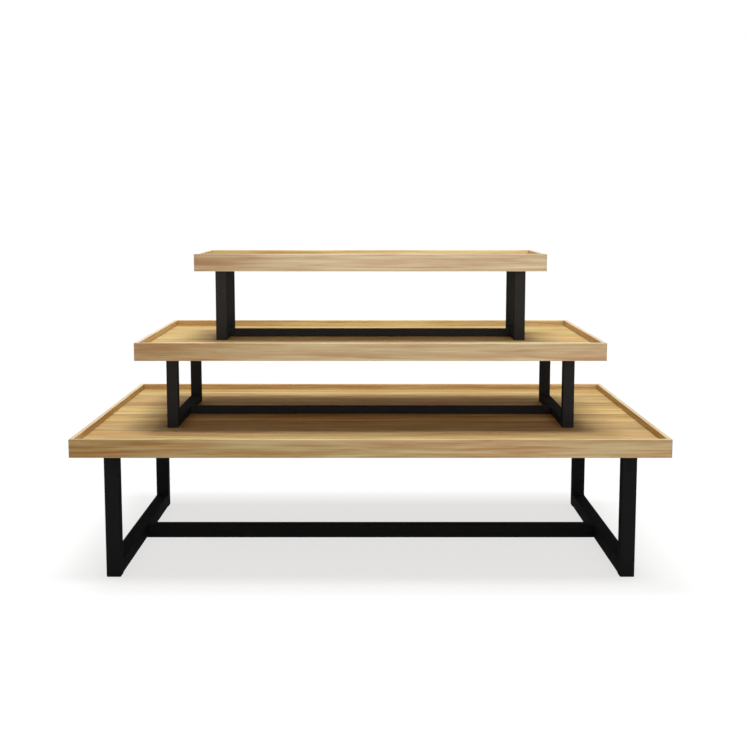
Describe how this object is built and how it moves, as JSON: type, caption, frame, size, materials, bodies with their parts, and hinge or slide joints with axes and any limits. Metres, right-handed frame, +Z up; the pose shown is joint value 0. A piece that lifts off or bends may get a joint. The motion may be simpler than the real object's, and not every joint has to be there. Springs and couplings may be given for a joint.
{
  "type": "tiered display table",
  "caption": "Stepped shop display: shallow timber trays with raised rims on black square-tube steel frames, each smaller table standing loose in the tray of the one below.",
  "frame": {"origin": "on the floor, under the middle of the table", "axes": "+X along the table's long side, to the right seen from the front; +Y from front to back; +Z up"},
  "size_m": [1.8, 1.2, 0.991],
  "materials": {
    "deck_timber": "clear satin lacquer on pale timber, grain along the long side",
    "rim_timber": "clear satin lacquer on pale timber, grain along each board",
    "block_timber": "plain sawn timber",
    "black_powder_coat": "fine matt powder coat",
    "black_fastener": "satin black",
    "zinc_screw": "bright zinc",
    "glide_plastic": "matt",
    "plug_plastic": "matt"
  },
  "bodies": {
    "lower_table": {"lower_deck_board": "deck_timber", "lower_rim_front": "rim_timber", "lower_rim_back": "rim_timber", "lower_rim_left": "rim_timber", "lower_rim_right": "rim_timber", "lower_corner_blocks": "block_timber", "lower_left_front_leg": "black_powder_coat", "lower_left_back_leg": "black_powder_coat", "lower_left_floor_bar": "black_powder_coat", "lower_left_top_bar": "black_powder_coat", "lower_right_front_leg": "black_powder_coat", "lower_right_back_leg": "black_powder_coat", "lower_right_floor_bar": "black_powder_coat", "lower_right_top_bar": "black_powder_coat", "lower_stretcher": "black_powder_coat", "lower_leg_glides": "glide_plastic", "lower_stretcher_plugs": "plug_plastic", "lower_stretcher_bolts": "black_fastener", "lower_deck_screws": "zinc_screw"},
    "middle_riser": {"middle_deck_board": "deck_timber", "middle_rim_front": "rim_timber", "middle_rim_back": "rim_timber", "middle_rim_left": "rim_timber", "middle_rim_right": "rim_timber", "middle_corner_blocks": "block_timber", "middle_left_front_leg": "black_powder_coat", "middle_left_back_leg": "black_powder_coat", "middle_left_floor_bar": "black_powder_coat", "middle_left_top_bar": "black_powder_coat", "middle_right_front_leg": "black_powder_coat", "middle_right_back_leg": "black_powder_coat", "middle_right_floor_bar": "black_powder_coat", "middle_right_top_bar": "black_powder_coat", "middle_stretcher": "black_powder_coat", "middle_leg_glides": "glide_plastic", "middle_stretcher_plugs": "plug_plastic", "middle_stretcher_bolts": "black_fastener", "middle_deck_screws": "zinc_screw"},
    "upper_riser": {"upper_deck_board": "deck_timber", "upper_rim_front": "rim_timber", "upper_rim_back": "rim_timber", "upper_rim_left": "rim_timber", "upper_rim_right": "rim_timber", "upper_corner_blocks": "block_timber", "upper_left_front_leg": "black_powder_coat", "upper_left_back_leg": "black_powder_coat", "upper_left_floor_bar": "black_powder_coat", "upper_left_top_bar": "black_powder_coat", "upper_right_front_leg": "black_powder_coat", "upper_right_back_leg": "black_powder_coat", "upper_right_floor_bar": "black_powder_coat", "upper_right_top_bar": "black_powder_coat", "upper_stretcher": "black_powder_coat", "upper_leg_glides": "glide_plastic", "upper_stretcher_plugs": "plug_plastic", "upper_stretcher_bolts": "black_fastener", "upper_deck_screws": "zinc_screw"}
  },
  "joints": [
    {"name": "middle_riser_lift", "type": "slide", "parent": "lower_table", "child": "middle_riser", "axis": [0, 0, 1], "range_m": [0, 0.3]},
    {"name": "upper_riser_lift", "type": "slide", "parent": "middle_riser", "child": "upper_riser", "axis": [0, 0, 1], "range_m": [0, 0.3]}
  ]
}
